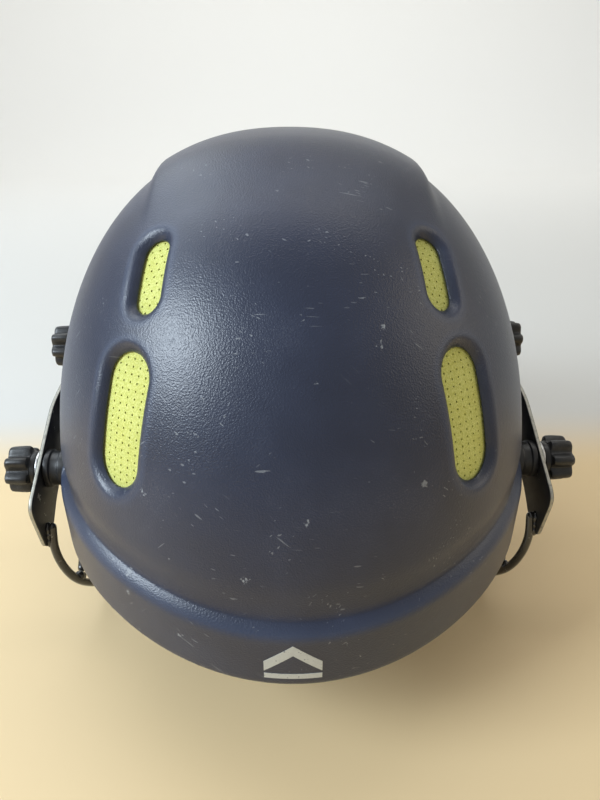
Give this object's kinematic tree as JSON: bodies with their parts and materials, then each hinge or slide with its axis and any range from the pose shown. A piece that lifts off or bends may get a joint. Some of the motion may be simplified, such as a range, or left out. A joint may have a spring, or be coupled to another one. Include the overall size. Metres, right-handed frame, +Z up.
{
  "type": "cricket batting helmet",
  "caption": "Cricket batting helmet: moulded shell with peak, rim band and mesh-backed vents, padded liner, chin strap, and a steel face guard held on by hand knobs.",
  "frame": {"origin": "middle of the bounding box, on the ground plane that the guard's lowest wire stands on", "axes": "+Z up, +Y the wearer's forward, towards the peak, +X the wearer's right"},
  "size_m": [0.281, 0.3122, 0.2391],
  "materials": {
    "shell_plastic": "moulded ABS with a fine leather grain, dull sheen",
    "vent_mesh": "perforated sheet, matt",
    "liner_foam": "closed-cell foam",
    "pad_cloth": "brushed cloth over foam",
    "black_plastic": "moulded nylon, satin",
    "plate_paint": "black paint on steel, worn to bare metal along the edges",
    "wire_coat": "glossy black coating on steel wire",
    "plain_steel": "zinc-plated",
    "webbing": "woven nylon"
  },
  "bodies": {
    "helmet": {"outer_shell": "shell_plastic", "vent_mesh_large_left": "vent_mesh", "vent_mesh_small_left": "vent_mesh", "vent_mesh_large_right": "vent_mesh", "vent_mesh_small_right": "vent_mesh", "foam_liner": "liner_foam", "crown_pad": "pad_cloth", "brow_pad": "pad_cloth", "nape_pad": "pad_cloth", "temple_pad_left": "pad_cloth", "temple_pad_right": "pad_cloth", "chin_cup": "pad_cloth", "spacer_rear_left": "black_plastic", "insert_rear_left": "black_plastic", "bolt_rear_left": "plain_steel", "spacer_front_left": "black_plastic", "insert_front_left": "black_plastic", "bolt_front_left": "plain_steel", "spacer_rear_right": "black_plastic", "insert_rear_right": "black_plastic", "bolt_rear_right": "plain_steel", "spacer_front_right": "black_plastic", "insert_front_right": "black_plastic", "bolt_front_right": "plain_steel", "strap_anchor_left": "black_plastic", "strap_left": "webbing", "strap_anchor_right": "black_plastic", "strap_right": "webbing", "buckle_plug": "black_plastic", "strap_slider": "black_plastic"},
    "guard": {"side_plate_left": "plate_paint", "side_plate_right": "plate_paint", "eye_bar": "wire_coat", "nose_bar": "wire_coat", "mouth_bar": "wire_coat", "chin_bar": "wire_coat", "cheek_strut_left": "wire_coat", "cheek_strut_right": "wire_coat"},
    "buckle": {"buckle_socket": "black_plastic"},
    "washer_rear_left": {"washer_rear_left": "plain_steel"},
    "knob_rear_left": {"knob_rear_left": "black_plastic"},
    "washer_front_left": {"washer_front_left": "plain_steel"},
    "knob_front_left": {"knob_front_left": "black_plastic"},
    "washer_rear_right": {"washer_rear_right": "plain_steel"},
    "knob_rear_right": {"knob_rear_right": "black_plastic"},
    "washer_front_right": {"washer_front_right": "plain_steel"},
    "knob_front_right": {"knob_front_right": "black_plastic"}
  },
  "joints": [
    {"name": "guard_tilt", "type": "hinge", "parent": "helmet", "child": "guard", "pos_m": [0, 0.01883, 0.12232], "axis": [1, 0, 0], "range_deg": [-3, 3]},
    {"name": "washer_travel_rear_left", "type": "slide", "parent": "helmet", "child": "washer_rear_left", "axis": [-1, 0, 0], "range_m": [0, 0.0031]},
    {"name": "knob_turn_rear_left", "type": "hinge", "parent": "washer_rear_left", "child": "knob_rear_left", "pos_m": [-0.1265, -0.05246, 0.086], "axis": [-1, 0, 0], "range_deg": [0, 1080]},
    {"name": "washer_travel_front_left", "type": "slide", "parent": "helmet", "child": "washer_front_left", "axis": [-1, 0, 0], "range_m": [0, 0.0031]},
    {"name": "knob_turn_front_left", "type": "hinge", "parent": "washer_front_left", "child": "knob_front_left", "pos_m": [-0.12, 0.01883, 0.12232], "axis": [-1, 0, 0], "range_deg": [0, 1080]},
    {"name": "washer_travel_rear_right", "type": "slide", "parent": "helmet", "child": "washer_rear_right", "axis": [1, 0, 0], "range_m": [0, 0.0031]},
    {"name": "knob_turn_rear_right", "type": "hinge", "parent": "washer_rear_right", "child": "knob_rear_right", "pos_m": [0.1265, -0.05246, 0.086], "axis": [1, 0, 0], "range_deg": [0, 1080]},
    {"name": "washer_travel_front_right", "type": "slide", "parent": "helmet", "child": "washer_front_right", "axis": [1, 0, 0], "range_m": [0, 0.0031]},
    {"name": "knob_turn_front_right", "type": "hinge", "parent": "washer_front_right", "child": "knob_front_right", "pos_m": [0.12, 0.01883, 0.12232], "axis": [1, 0, 0], "range_deg": [0, 1080]},
    {"name": "buckle_release", "type": "slide", "parent": "helmet", "child": "buckle", "axis": [-1, 0, 0], "range_m": [0, 0.014], "deforming": ["strap_left"]}
  ],
  "couplings": [
    {"joint": "washer_travel_rear_left", "follows": "knob_turn_rear_left", "m_per_rad": 0.00015915},
    {"joint": "washer_travel_front_left", "follows": "knob_turn_front_left", "m_per_rad": 0.00015915},
    {"joint": "washer_travel_rear_right", "follows": "knob_turn_rear_right", "m_per_rad": 0.00015915},
    {"joint": "washer_travel_front_right", "follows": "knob_turn_front_right", "m_per_rad": 0.00015915}
  ]
}
